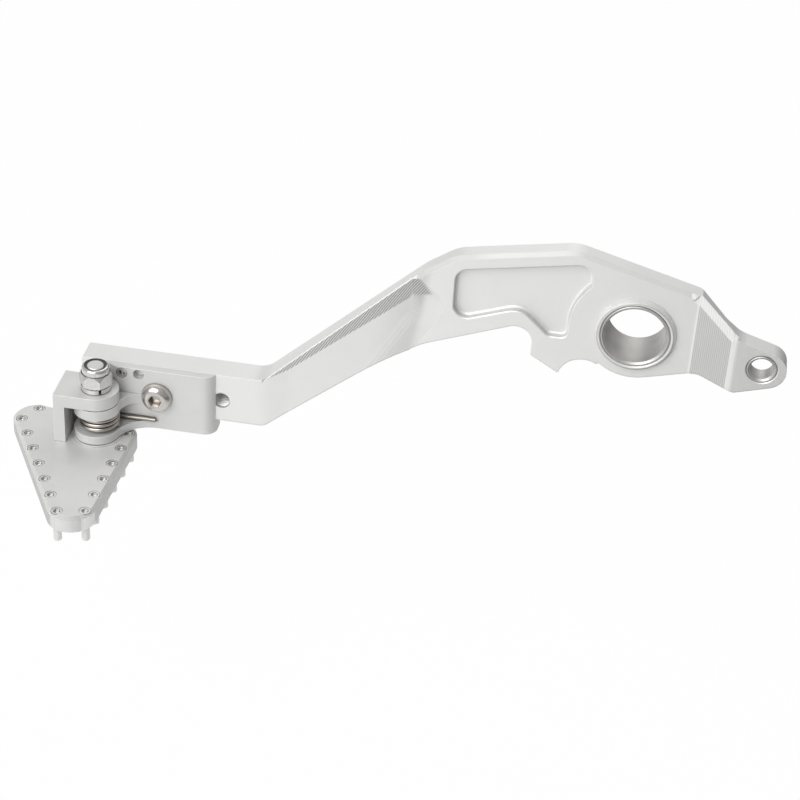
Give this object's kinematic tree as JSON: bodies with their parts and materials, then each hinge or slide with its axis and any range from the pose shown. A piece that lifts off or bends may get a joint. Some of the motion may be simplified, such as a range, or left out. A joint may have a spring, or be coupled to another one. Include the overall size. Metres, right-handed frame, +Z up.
{
  "type": "rear brake pedal",
  "caption": "Machined aluminium motorbike rear brake pedal: cranked arm with pivot boss, pocket and pushrod tang, and a sprung folding toe plate with grip studs.",
  "frame": {"origin": "middle of the pivot bore, half-way along its length", "axes": "+X from the toe plate to the pushrod end, +Y along the pivot bore from the outer side to the back, +Z up as in the picture"},
  "size_m": [0.2564, 0.0752, 0.0987],
  "materials": {
    "arm_metal": "satin machined, clear anodised",
    "toe_metal": "fine blasted, clear anodised",
    "hardware_steel": "polished",
    "bush_steel": "turned",
    "spring_steel": "bright drawn wire",
    "nylon": "matt"
  },
  "bodies": {
    "lever": {"lever_arm": "arm_metal", "pivot_bush": "bush_steel", "pushrod_bush": "bush_steel", "toe_bracket": "toe_metal", "bracket_screw": "hardware_steel", "bracket_set_screw": "hardware_steel", "torsion_spring": "spring_steel"},
    "toe": {"toe_plate": "toe_metal", "grip_studs": "hardware_steel", "pivot_bolt": "hardware_steel", "pivot_sleeve": "bush_steel", "spring_washer": "hardware_steel", "lock_nut": "hardware_steel", "nut_insert": "nylon"}
  },
  "joints": [
    {"name": "tip_fold", "type": "hinge", "parent": "lever", "child": "toe", "pos_m": [-0.1763, -0.0189, -0.0515], "axis": [0, 0, 1], "range_deg": [0, 90], "stiffness_Nm_per_rad": 0.25, "springref_deg": -34.38, "deforming": ["torsion_spring"]}
  ]
}
